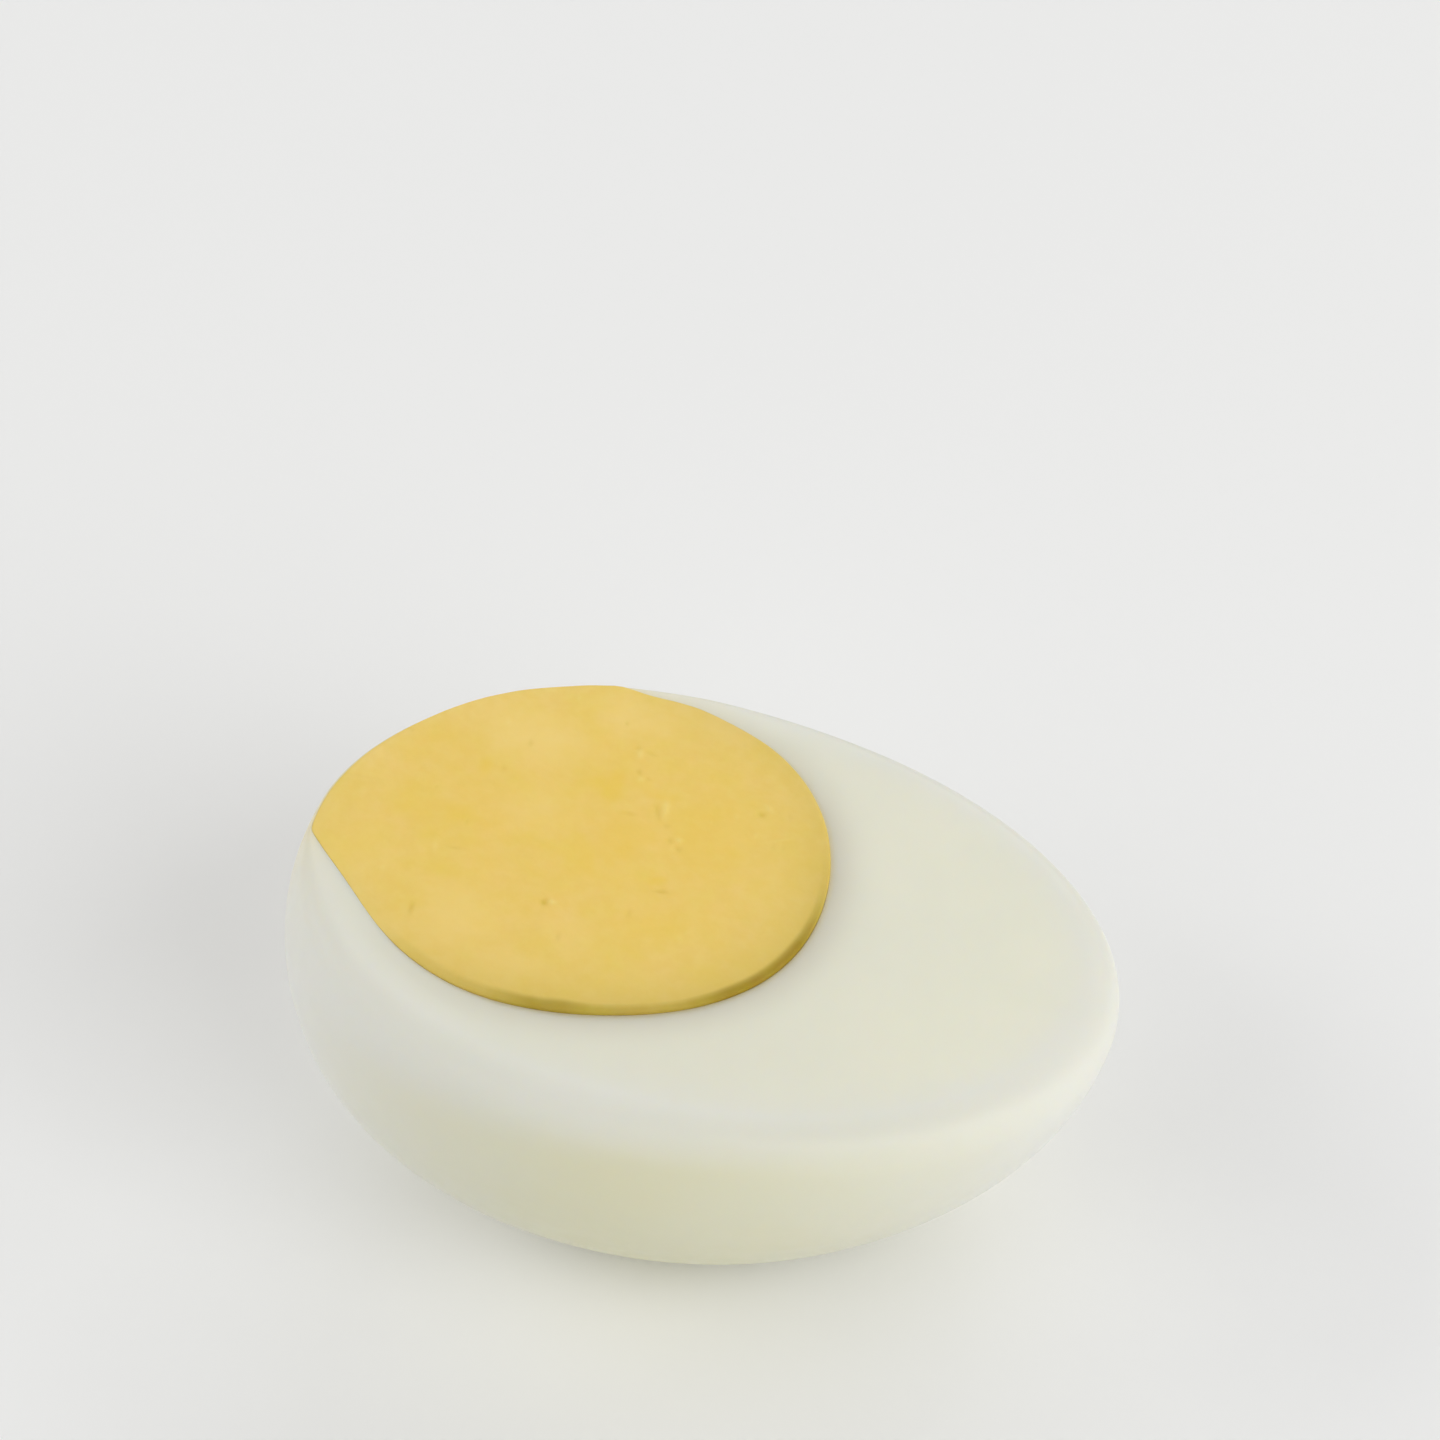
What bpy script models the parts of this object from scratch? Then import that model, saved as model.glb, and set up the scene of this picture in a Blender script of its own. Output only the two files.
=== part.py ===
# Half of a peeled hard boiled hen's egg, lying on its round back with the cut face up.
#
# The whole egg is a body of revolution about a level long axis, with +X towards its narrow end.
# A knife has cut it a little askew, so that more of the blunt end is left. The yolk lies off
# centre: it is pressed flat against one side, where only a thin skin of white covers it, and it
# stands slightly proud of the cut. Lengths are in metres.

import math

import bmesh
import bpy
from mathutils import Vector, noise

MM = 0.001

# The whole egg, before it was cut
EGG_LENGTH = 57.0 * MM
EGG_WIDTH = 42.3 * MM
NARROWING = 0.039  # share of the width lost at the narrow end and gained at the blunt one
FULLNESS = 0.004  # share of the width gained towards both ends
WAVINESS = 0.12 * MM  # how far the skin swells and dips
WAVE_LENGTH = 14.0 * MM
BULGE_HEIGHT = 0.45 * MM  # how far the skin is pushed out where the yolk presses against it
BULGE_SPREAD = math.radians(36)
BULGE_TOWARDS = Vector((-0.50, 0.84, 0.23)).normalized()

# The knife's cut, the rim that it leaves and the underside that is pressed flat
CUT_HEIGHT = 3.73 * MM  # above the long axis, at the middle of the egg
CUT_SLOPE = math.radians(8)  # down towards the narrow end
RIM_RADIUS = 2.0 * MM
RIM_SWING = 0.9 * MM  # what is added to the radius on the side where the rim is roundest
RIM_TURN = math.radians(-50)
RIM_SHARE = 0.45  # the most of a narrow stretch of cut white that the rim takes
REST_DEPTH = 0.57 * MM

# The yolk, from its centre in the plane of the cut
YOLK_ALONG = -10.97 * MM
YOLK_ACROSS = 6.34 * MM
YOLK_RADIUS = 18.33 * MM
YOLK_LOBES = (  # what keeps its outline from being round: how many lobes, how deep, and which way
    (2, 1.68 * MM, math.radians(-81)),
    (3, 0.48 * MM, math.radians(36)),
    (4, 0.22 * MM, math.radians(13)),
    (5, 0.35 * MM, math.radians(162)),
)
YOLK_DEPTH = 15.6 * MM
SKIN_THICKNESS = 0.4 * MM  # of the white where the yolk is pressed against it
GAP = 0.3 * MM  # between the yolk and the white
PRESS_BLEND = 0.9 * MM  # how softly the round yolk turns into its pressed side
PROUD_MEAN = 0.38 * MM  # how far the yolk stands over the cut
PROUD_LOBES = (  # what is added to that towards the edge, in the same way as the lobes above
    (1, 0.18 * MM, math.radians(50)),
    (2, 0.14 * MM, math.radians(200)),
)
YOLK_EDGE = 0.35 * MM
YOLK_DOME = 0.15 * MM
YOLK_GRAIN = 0.07 * MM
GRAIN_LENGTH = 3.0 * MM

# The shallow trough where the white has shrunk away from the yolk
TROUGH_DEPTH = 0.16 * MM
TROUGH_WIDTH = 1.8 * MM

# How finely each stretch of the surface is divided
COLUMNS = 80
REST_ROWS = 2
SKIN_ROWS = 16
RIM_ROWS = 4
FACE_ROWS = 7
CAVITY_ROWS = 11
YOLK_ROWS = 11
EDGE_ROWS = 3
TOP_ROWS = 7

SHARP_ANGLE = math.radians(40)  # edges that turn more than this are shaded as creases

WHITE_COLOUR = (0.83, 0.83, 0.72, 1.0)
WHITE_ROUGHNESS = 0.35
YOLK_COLOUR = (0.83, 0.60, 0.15, 1.0)
YOLK_ROUGHNESS = 0.8

CUT_ALONG = Vector((math.cos(CUT_SLOPE), 0, -math.sin(CUT_SLOPE)))
CUT_ACROSS = Vector((0, 1, 0))
CUT_UP = Vector((math.sin(CUT_SLOPE), 0, math.cos(CUT_SLOPE)))
YOLK_CENTRE = Vector((0, 0, CUT_HEIGHT)) + CUT_ALONG * YOLK_ALONG + CUT_ACROSS * YOLK_ACROSS
DOWN = Vector((0, 0, -1))
HUB = Vector((-NARROWING * EGG_LENGTH / 2, 0, 0))  # on the long axis, where the egg is widest
SEARCH_STEPS = 36


def egg_radius(x):
    # The egg's radius about its long axis, x from the middle.
    share = x / (EGG_LENGTH / 2)
    if abs(share) >= 1:
        return 0.0
    profile = 1 - NARROWING * share + FULLNESS * share * share
    return EGG_WIDTH / 2 * math.sqrt(1 - share * share) * profile


REST_HEIGHT = REST_DEPTH - egg_radius(HUB.x)


def is_inside_egg(point):
    if abs(point.x) >= EGG_LENGTH / 2:
        return False
    wave = WAVINESS * noise.noise(point / WAVE_LENGTH)
    off_bulge = (point - HUB).angle(BULGE_TOWARDS, 0) / BULGE_SPREAD
    bulge = BULGE_HEIGHT * math.exp(-off_bulge * off_bulge)
    return math.hypot(point.y, point.z) < egg_radius(point.x) + wave + bulge


def halve(low, high, is_low_side):
    # The place between low and high where is_low_side turns from true to false.
    for _ in range(SEARCH_STEPS):
        middle = (low + high) / 2
        if is_low_side(middle):
            low = middle
        else:
            high = middle
    return low


def reach_of_skin(start, direction):
    # How far a ray from inside the egg runs before it meets the skin.
    return halve(0.0, EGG_LENGTH, lambda reach: is_inside_egg(start + direction * reach))


def softer_of(first, second, blend):
    # The smaller of two lengths, with the step between them rounded off.
    overlap = max(blend - abs(first - second), 0) / blend
    return min(first, second) - overlap * overlap * blend / 4


def in_cut(turn):
    return CUT_ALONG * math.cos(turn) + CUT_ACROSS * math.sin(turn)


def yolk_ray(turn, dip):
    # From the yolk's centre: turn goes round in the cut, dip goes down from it.
    return in_cut(turn) * math.cos(dip) - CUT_UP * math.sin(dip)


def yolk_reach(turn, dip):
    ray = yolk_ray(turn, dip)
    radius = YOLK_RADIUS
    for count, depth, first in YOLK_LOBES:
        radius += depth * math.cos(count * turn - first)
    ball = 1 / math.hypot(math.cos(dip) / radius, math.sin(dip) / YOLK_DEPTH)
    pressed = reach_of_skin(YOLK_CENTRE, ray) - SKIN_THICKNESS - GAP
    return softer_of(ball, pressed, PRESS_BLEND)


def swing(direction, target, share):
    # The direction that lies this share of the way round from one to the other.
    angle = direction.angle(target)
    start = direction * math.sin((1 - share) * angle)
    return (start + target * math.sin(share * angle)) / math.sin(angle)


def rows(first, last, count):
    # count even steps from first to last, without first.
    return [first + (last - first) * step / count for step in range(1, count + 1)]


def bend(start, corner, end, share):
    # A rounded corner: a quadratic curve from start to end that leans towards corner.
    return start * (1 - share) ** 2 + corner * 2 * share * (1 - share) + end * share**2


def skin_point(direction):
    return HUB + direction * reach_of_skin(HUB, direction)


def rest_points(to_rim):
    # Across the flat underside, and which share of the way to the rim its border lies at.
    border = halve(0.0, 1.0, lambda share: skin_point(swing(DOWN, to_rim, share)).z < REST_HEIGHT)
    points = []
    for share in rows(0.0, border, REST_ROWS):
        direction = swing(DOWN, to_rim, share)
        point = HUB + direction * (REST_HEIGHT / direction.z)
        point.z = REST_HEIGHT
        points.append(point)
    return points, border


def white_column(turn):
    # One line of points from the middle of the underside, over the rim and the cut face, down
    # the wall of the yolk's cavity.
    outward = in_cut(turn)
    corner = YOLK_CENTRE + outward * reach_of_skin(YOLK_CENTRE, outward)
    cavity_edge = YOLK_CENTRE + outward * (yolk_reach(turn, 0) + GAP)
    face_width = (corner - cavity_edge).length
    widest_rim = RIM_RADIUS + RIM_SWING * math.cos(turn - RIM_TURN)
    rim_radius = softer_of(widest_rim, face_width * RIM_SHARE, widest_rim / 2)
    to_rim = (corner - HUB).normalized()
    points, border = rest_points(to_rim)

    skin_end = 1 - rim_radius / ((corner - HUB).length * DOWN.angle(to_rim))
    for share in rows(border, skin_end, SKIN_ROWS):
        points.append(skin_point(swing(DOWN, to_rim, share)))

    rim_start = points[-1]
    rim_end = corner - outward * rim_radius
    for share in rows(0.0, 1.0, RIM_ROWS):
        points.append(bend(rim_start, corner, rim_end, share))

    for share in rows(0.0, 1.0, FACE_ROWS):
        point = rim_end.lerp(cavity_edge, math.sin(share * math.pi / 2))
        from_yolk = (point - cavity_edge).length / TROUGH_WIDTH
        from_rim = min((point - rim_end).length / TROUGH_WIDTH, 1)
        points.append(point - CUT_UP * TROUGH_DEPTH * math.exp(-from_yolk * from_yolk) * from_rim)

    for dip in rows(0.0, math.pi / 2, CAVITY_ROWS + 1)[:-1]:
        points.append(YOLK_CENTRE + yolk_ray(turn, dip) * (yolk_reach(turn, dip) + GAP))
    return points


def yolk_top(turn, reach, edge_reach):
    # A point of the yolk's cut face, which domes a little and has a fine uneven grain.
    share = reach / edge_reach
    point = YOLK_CENTRE + in_cut(turn) * reach
    height = PROUD_MEAN
    for count, rise, first in PROUD_LOBES:
        height += rise * math.cos(count * turn - first) * share**count
    grain = YOLK_GRAIN * noise.noise(point / GRAIN_LENGTH)
    return point + CUT_UP * (height + YOLK_DOME * (1 - share * share) + grain)


def yolk_column(turn):
    # One line of points from the yolk's lowest point, up its side and across its cut face.
    points = []
    for dip in rows(math.pi / 2, 0.0, YOLK_ROWS):
        points.append(YOLK_CENTRE + yolk_ray(turn, dip) * yolk_reach(turn, dip))

    side = points[-1]
    edge_reach = (side - YOLK_CENTRE).length
    edge_end = yolk_top(turn, edge_reach - YOLK_EDGE, edge_reach)
    corner = side + CUT_UP * (edge_end - side).dot(CUT_UP)
    for share in rows(0.0, 1.0, EDGE_ROWS):
        points.append(bend(side, corner, edge_end, share))

    for reach in rows(edge_reach - YOLK_EDGE, 0.0, TOP_ROWS + 1)[:-1]:
        points.append(yolk_top(turn, reach, edge_reach))
    return points


def material(name, colour, roughness):
    made = bpy.data.materials.new(name)
    made.use_nodes = True
    shader = made.node_tree.nodes["Principled BSDF"]
    shader.inputs["Base Color"].default_value = colour
    shader.inputs["Roughness"].default_value = roughness
    shader.inputs["Metallic"].default_value = 0.0
    return made


def closed_skin(name, column, first_pole, last_pole):
    # Joins columns of points all the way round, and closes them at a pole at each end.
    mesh = bmesh.new()
    lines = []
    for step in range(COLUMNS):
        turn = 2 * math.pi * step / COLUMNS
        lines.append([mesh.verts.new(point) for point in column(turn)])
    start = mesh.verts.new(first_pole)
    end = mesh.verts.new(last_pole)
    for here, after in zip(lines, lines[1:] + lines[:1]):
        mesh.faces.new((start, after[0], here[0]))
        for row in range(len(here) - 1):
            mesh.faces.new((here[row], after[row], after[row + 1], here[row + 1]))
        mesh.faces.new((here[-1], after[-1], end))
    bmesh.ops.recalc_face_normals(mesh, faces=mesh.faces)
    data = bpy.data.meshes.new(name)
    mesh.to_mesh(data)
    mesh.free()
    data.shade_smooth()
    data.set_sharp_from_angle(angle=SHARP_ANGLE)
    return data


def add(name, data, finish, place):
    data.materials.append(finish)
    made = bpy.data.objects.new(name, data)
    made.location = place
    bpy.context.scene.collection.objects.link(made)
    return made


def origin_shift(data):
    # Brings the middle of the footprint's box to the origin, and the underside to height 0.
    lows = [min(vertex.co[axis] for vertex in data.vertices) for axis in range(3)]
    highs = [max(vertex.co[axis] for vertex in data.vertices) for axis in range(3)]
    return Vector((-(lows[0] + highs[0]) / 2, -(lows[1] + highs[1]) / 2, -lows[2]))


def main():
    for old in list(bpy.data.objects):
        bpy.data.objects.remove(old)

    rest_centre = HUB + DOWN * -REST_HEIGHT
    straight_down = math.pi / 2
    depth = yolk_reach(0, straight_down)
    yolk_bottom = YOLK_CENTRE - CUT_UP * depth
    cavity_bottom = YOLK_CENTRE - CUT_UP * (depth + GAP)
    top_centre = yolk_top(0, 0.0, YOLK_RADIUS)
    white = closed_skin("egg_white", white_column, rest_centre, cavity_bottom)
    yolk = closed_skin("yolk", yolk_column, yolk_bottom, top_centre)

    place = origin_shift(white)
    add("egg_white", white, material("egg_white", WHITE_COLOUR, WHITE_ROUGHNESS), place)
    add("yolk", yolk, material("yolk", YOLK_COLOUR, YOLK_ROUGHNESS), place)


main()
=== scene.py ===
# Half of a hard boiled egg, dressed for the camera: the white and the yolk as finely modelled
# pieces that stand for the two plain solids. Sizes are in millimetres until a mesh is made.
import math

import bpy
import numpy as np
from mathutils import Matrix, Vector, noise


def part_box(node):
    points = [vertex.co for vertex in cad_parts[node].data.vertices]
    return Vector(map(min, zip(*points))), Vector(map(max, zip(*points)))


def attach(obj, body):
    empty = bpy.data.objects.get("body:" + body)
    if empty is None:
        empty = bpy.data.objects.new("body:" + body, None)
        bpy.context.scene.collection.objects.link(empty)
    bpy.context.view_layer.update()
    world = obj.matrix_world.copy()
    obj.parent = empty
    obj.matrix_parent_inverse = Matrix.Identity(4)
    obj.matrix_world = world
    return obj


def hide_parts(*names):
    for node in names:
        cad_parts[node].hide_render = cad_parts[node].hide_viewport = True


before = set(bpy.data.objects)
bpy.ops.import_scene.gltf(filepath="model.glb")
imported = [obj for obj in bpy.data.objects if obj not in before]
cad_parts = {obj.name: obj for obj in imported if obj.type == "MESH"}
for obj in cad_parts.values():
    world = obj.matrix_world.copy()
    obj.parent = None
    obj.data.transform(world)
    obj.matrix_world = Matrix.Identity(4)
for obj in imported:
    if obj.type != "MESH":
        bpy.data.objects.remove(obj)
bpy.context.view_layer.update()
print("egg: frame loaded")

mm = 0.001

# The whole egg before it was cut, about a level long axis, and where the knife went through
egg = {
    "length": 57.0,
    "width": 42.3,
    "narrowing": 0.039,  # share of the width lost at the narrow end, gained at the blunt one
    "fullness": 0.004,
    "waveHeight": 0.12,  # slow swells of the peeled skin
    "waveSize": 14.0,
    "bulgeHeight": 0.45,  # how far the skin is pushed out where the yolk presses against it
    "bulgeSpread": 36,  # degrees
    "bulgeTowards": (-0.50, 0.84, 0.23),
    "cutHeight": 3.73,  # above the long axis
    "cutSlope": 8.0,  # degrees, down towards the narrow end
}

cutSlope = math.radians(egg["cutSlope"])
cutAlong = np.array((math.cos(cutSlope), 0, -math.sin(cutSlope)))
cutAcross = np.array((0, 1.0, 0))
cutUp = np.array((math.sin(cutSlope), 0, math.cos(cutSlope)))
down = np.array((0, 0, -1.0))
hub = np.array((-egg["narrowing"] * egg["length"] / 2, 0, 0))  # where the egg is widest
bulgeTowards = np.array(egg["bulgeTowards"]) / math.hypot(*egg["bulgeTowards"])

white = {
    "rimRadius": 2.0,
    "rimSwing": 0.9,  # added on the side where the rim is roundest
    "rimTurn": -50,  # degrees
    "rimShare": 0.45,  # the most of a narrow stretch of cut white that the rim takes
    "restDepth": 0.57,  # how far the underside is pressed flat
    "restBlend": 0.4,
    "firstRing": 0.04,  # where the lowest ring of points lies, as a share of the way up the skin
    "wall": 0.13,  # thickness where the yolk is pressed against the skin
    "troughDepth": 0.04,  # where the white has shrunk away from the yolk
    "troughWidth": 1.8,
    "lip": 0.03,  # rounding of the cavity's edge
    "lipShare": 0.25,  # the most of a narrow stretch of cut white that it takes
    "lipDepth": 1.2,  # how deep it reaches, as a share of its width and the trough
    # Where white and yolk meet without a step: how much of it goes, turn and spread in degrees
    "flushBump": (1.0, -143, 34),
    "flushLip": 0.2,  # share of the lip that is left there
    "cutWaveHeight": 0.05,
    "cutWaveSize": 7.0,
    "cutWaveShift": 3.7,
    "dragHeight": 0.012,  # faint ridges left by the knife
    "dragSize": 0.9,
    "dragStretch": 0.06,  # how little they change on the knife's way across
    "dragShift": 9.1,
    # Where its colours lie
    "stainReach": 0.24,  # how far the yolk has stained the white beside it
    # Where the painted shade on the white beside the yolk is weaker or stronger: by how much, turn
    # and spread in degrees
    "shadeBumps": ((-0.6, 52, 30), (0.15, -8, 25)),
    "rimHighlightReach": 1.6,  # how far the painted highlight along the rim reaches over the cut
    "rimDrop": 7.0,  # and how far down the skin
    "thinReach": 1.3,  # how thick the white may be where the yolk still shows through
    "thinOnCut": 0.12,  # share of that which shows on the cut
    "warmFrom": 0.3,  # from 0 to 1, how far the skin must face the near side to take the painted warm shade
    "warmPower": 1.15,
    "warmCore": 3.0,  # closer than this to the middle of the underside it faces no side
    "warmTop": (20.5, 26.0),  # heights between which the painted warm shade ends
    "warmUnderside": 0.6,  # how strong the painted warm shade of the underside is
    "warmBottom": (3.0, 14.0),  # heights between which that ends
    "paintedLightNarrowEnd": (-4.0, 24.0),  # places along the egg between which painted light makes the cut paler
    "columns": 480,
    "skinRows": 78,
    "rimRows": 14,
    "faceRows": 46,
    "lipRows": 4,
    "cavityRows": 22,
}

yolk = {
    "along": -10.97,
    "across": 6.34,
    "radius": 18.34,
    # What keeps its outline from being round: how many lobes, how deep, and which way in degrees
    "lobes": ((2, 1.68, -81), (3, 0.48, 36), (4, 0.22, 13), (5, 0.35, 162)),
    "depth": 15.6,
    "gap": 0.005,
    "pressBlend": (0.2, 2.1),  # rounding of its corner at the sharp tip and on the opposite side
    "sharpTurn": -150,  # degrees, where that tip is
    "proud": 0.38,  # how far it stands over the cut
    # What is added to that towards the edge: lobes as above, with a height for a depth, and bumps
    # with their height, turn and spread in degrees
    "proudLobes": ((1, 0.18, 50), (2, 0.14, 200)),
    "proudBumps": ((-0.17, -122, 36), (-0.35, 80, 28)),
    # Dents in the outline: depth, turn and spread in degrees. A depth below 0 bulges out.
    "dents": ((2.2, 76, 15), (0.30, 50, 10), (0.10, -72, 35), (-0.10, -128, 18), (-0.15, -155, 12)),
    "edge": 0.5,  # how far its rounded edge reaches over the cut
    "uprightShare": 0.3,  # share of what stands proud that is upright
    "dome": 0.15,
    "ripples": ((6.0, 0.09), (3.0, 0.06), (1.5, 0.032), (0.8, 0.019), (0.4, 0.009)),  # size, height
    "rippleShift": 5.3,
    # Where the thin olive film between yolk and white shows: turn in degrees, strength, how far
    # it reaches in over the cut, and strength of the wide dull band inside it: olive tint and
    # painted shade
    "film": (
        (-150, 0.00, 0.40, 0.1),
        (-128, 0.00, 0.40, 0.3),
        (-115, 0.14, 0.80, 0.5),
        (-97, 0.28, 0.75, 0.9),
        (-87, 0.75, 0.70, 1.0),
        (-80, 0.72, 0.70, 1.0),
        (-74, 0.55, 0.48, 1.0),
        (-62, 0.45, 0.42, 1.0),
        (-55, 0.60, 0.44, 1.0),
        (-45, 1.00, 0.56, 1.0),
        (-24, 1.00, 0.56, 1.0),
        (-15, 0.60, 0.52, 1.0),
        (-6, 0.15, 0.50, 0.9),
        (8, 0.00, 0.40, 0.7),
        (25, 0.00, 0.40, 0.6),
        (50, 0.00, 0.40, 0.5),
        (75, 0.00, 0.40, 0.0),
    ),
    "filmSoftness": 0.45,  # how softly the film ends, as a share of its reach
    "fadeReach": 2.6,  # how far the dull band of olive tint and painted shade reaches in
    # Paler and deeper patches of the cut: kind, place along and across, length, width, strength
    "tints": (
        ("pale", -2.8, 7.0, 3.8, 2.7, 1.0),
        ("pale", 4.1, 10.3, 3.1, 2.1, 0.9),
        ("pale", 9.7, 11.7, 2.1, 1.7, 1.1),
        ("pale", -5.4, -11.7, 2.6, 2.7, 0.85),
        ("pale", -0.7, -15.5, 2.4, 1.4, 0.8),
        ("pale", -1.5, 0.2, 1.9, 2.5, 0.6),
        ("pale", 2.6, -11.9, 2.1, 1.6, 0.4),
        ("pale", -12.1, -7.3, 1.7, 2.4, 0.3),
        ("pale", 6.4, -14.5, 2.7, 1.0, 0.3),
        ("gold", 2.7, 3.3, 0.8, 1.3, 0.65),
        ("gold", 5.6, 3.9, 1.5, 0.7, 0.4),
        ("gold", 7.3, -4.8, 0.8, 0.6, 0.6),
        ("gold", 2.4, -4.0, 1.4, 1.6, 0.5),
        ("gold", 10.1, 0.5, 3.1, 4.4, 0.4),
        ("gold", 4.7, -1.6, 1.9, 2.4, 0.5),
        ("gold", -9.0, 5.0, 2.2, 2.0, 0.3),
        ("pale", -8.9, -13.6, 1.6, 1.2, 0.8),
        ("pale", 15.6, -3.5, 1.8, 2.4, 0.3),
        ("gold", -5.7, 3.0, 0.8, 1.4, 0.5),
        ("gold", -7.0, -2.0, 1.0, 1.4, 0.45),
        ("gold", -10.0, -1.7, 1.7, 2.1, 0.25),
        ("gold", 8.0, -9.0, 2.1, 2.1, 0.35),
    ),
    "tintFall": 1.5,  # how steeply a patch ends
    "tintWobble": 1.1,
    "tintWobbleSize": 2.4,
    "tintWobbleShifts": (31.7, 57.3),
    # What the knife tore: kind, place along and across, length, width, lean in degrees, strength
    "tears": (
        ("crumb", 4.6, 6.9, 0.50, 0.22, 90, 1.0),
        ("pit", 4.4, 7.5, 0.22, 0.20, 0, 0.6),
        ("pit", 5.4, 7.2, 0.45, 0.15, -10, 0.4),
        ("pit", 4.8, 5.2, 0.32, 0.18, 100, 0.8),
        ("crumb", 5.0, 4.5, 0.30, 0.24, 90, 0.9),
        ("pit", 5.5, 4.7, 0.24, 0.17, 90, 0.4),
        ("crumb", 7.1, 2.1, 0.80, 0.25, 92, 1.0),
        ("pit", 6.6, 1.6, 0.75, 0.22, 105, 0.8),
        ("pit", 7.4, 0.4, 0.30, 0.25, 0, 0.5),
        ("crumb", 8.4, -0.7, 0.25, 0.25, 0, 0.9),
        ("pit", 7.8, -0.9, 0.25, 0.22, 90, 0.7),
        ("pit", 8.5, -1.5, 0.32, 0.20, -40, 0.7),
        ("crumb", 8.0, -1.7, 0.25, 0.22, 0, 0.5),
        ("pit", 0.4, -8.9, 0.34, 0.27, 90, 1.5),
        ("crumb", 0.9, -8.8, 0.25, 0.24, 0, 1.2),
        ("pit", 7.9, -5.8, 0.50, 0.18, 0, 1.0),
        ("pit", -8.2, -11.5, 0.60, 0.20, 90, 0.9),
        ("pit", 6.1, -8.5, 0.50, 0.18, 90, 0.5),
        ("pit", 1.8, -11.9, 0.40, 0.16, 90, 0.5),
        ("pit", 13.6, 3.4, 0.28, 0.26, 0, 1.0),
        ("crumb", 14.0, 4.1, 0.40, 0.25, 120, 0.8),
        ("crumb", 15.2, 1.3, 0.90, 0.14, 28, 0.5),
        ("crumb", -7.6, -5.5, 0.60, 0.20, 90, 0.6),
        ("pit", -6.3, -5.4, 0.50, 0.16, 0, 0.5),
        ("pit", 4.7, 0.9, 0.50, 0.16, 0, 0.6),
        ("crumb", 4.5, 1.7, 0.30, 0.20, 0, 0.4),
    ),
    "pitDepth": 0.075,
    "crumbHeight": 0.07,
    # More of them, small and faint
    "scatter": 26,
    "scatterReach": 0.93,  # share of the yolk's radius within which they lie
    "scatterSize": (0.14, 0.26),
    "scatterStretch": (1, 2),
    "scatterWidth": 0.8,
    "scatterStrength": (0.2, 0.5),
    # Faint marks drawn by the knife
    "drags": 12,
    "dragReach": 0.88,
    "dragLength": (0.6, 1.4),
    "dragWidth": 0.2,
    "dragHeight": 0.02,
    "leanSpread": 0.35,  # how far from straight across they may lie, in radians
    "columns": 920,
    "sideRows": 16,
    "wallRows": 5,
    "edgeRows": 8,
    "ringRows": 9,
    "ringShare": 0.93,  # rings of points outside this share of the top, an even grid within
    "seed": 7,
}

steepest = math.radians(83)  # how far down the columns of the yolk and its cavity go
yolkCentre = np.array((0, 0, egg["cutHeight"])) + cutAlong * yolk["along"]
yolkCentre = yolkCentre + cutAcross * yolk["across"]


def noiseAt(points, size, shift=0.0):
    # Smooth noise from about -1 to 1 at each point, with swells of this size.
    flat = (np.asarray(points) / size + shift).reshape(-1, 3).tolist()
    return np.array([noise.noise(point) for point in flat]).reshape(np.shape(points)[:-1])


def eggRadius(x):
    # Half the egg's width at this place along its axis.
    share = np.clip(x / (egg["length"] / 2), -1, 1)
    profile = 1 - egg["narrowing"] * share + egg["fullness"] * share**2
    return egg["width"] / 2 * np.sqrt(1 - share**2) * profile


def unit(vectors):
    return vectors / np.maximum(np.linalg.norm(vectors, axis=-1, keepdims=True), 1e-9)


def skinReach(start, rays):
    # How far each ray from a point inside the egg runs before it meets the skin.
    low = np.zeros(rays.shape[:-1])
    high = np.full(rays.shape[:-1], egg["length"])
    for _ in range(30):  # each step halves what is left between low and high
        middle = (low + high) / 2
        points = start + rays * middle[..., None]
        away = unit(points - hub)
        offBulge = np.degrees(np.arccos(np.clip(away @ bulgeTowards, -1, 1))) / egg["bulgeSpread"]
        radius = eggRadius(points[..., 0]) + egg["bulgeHeight"] * np.exp(-(offBulge**2))
        withinEnds = np.abs(points[..., 0]) < egg["length"] / 2
        inside = withinEnds & (np.hypot(points[..., 1], points[..., 2]) < radius)
        low = np.where(inside, middle, low)
        high = np.where(inside, high, middle)
    return low + egg["waveHeight"] * noiseAt(start + rays * low[..., None], egg["waveSize"])


def softMin(first, second, blend):
    # The smaller of the two, rounded over where they are closer than blend.
    overlap = np.maximum(blend - np.abs(first - second), 0) / blend
    return np.minimum(first, second) - overlap**2 * blend / 4


def smoothStep(low, high, value):
    share = np.clip((value - low) / (high - low), 0, 1)
    return share**2 * (3 - 2 * share)


def inCut(turn):
    # The direction of a turn in the plane of the cut.
    return np.cos(turn)[..., None] * cutAlong + np.sin(turn)[..., None] * cutAcross


def yolkRay(turn, dip):
    # From the yolk's centre: turn goes round in the cut, dip goes down from it.
    return inCut(turn) * np.cos(dip)[..., None] - cutUp * np.sin(dip)[..., None]


def bumpsAt(turn, bumps):
    # The sum of some smooth bumps round the yolk: size, turn and spread in degrees of each.
    total = 0
    for size, middle, spread in bumps:
        off = (np.degrees(turn) - middle + 180) % 360 - 180
        total = total + size * np.exp(-((off / spread) ** 2))
    return total


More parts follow.
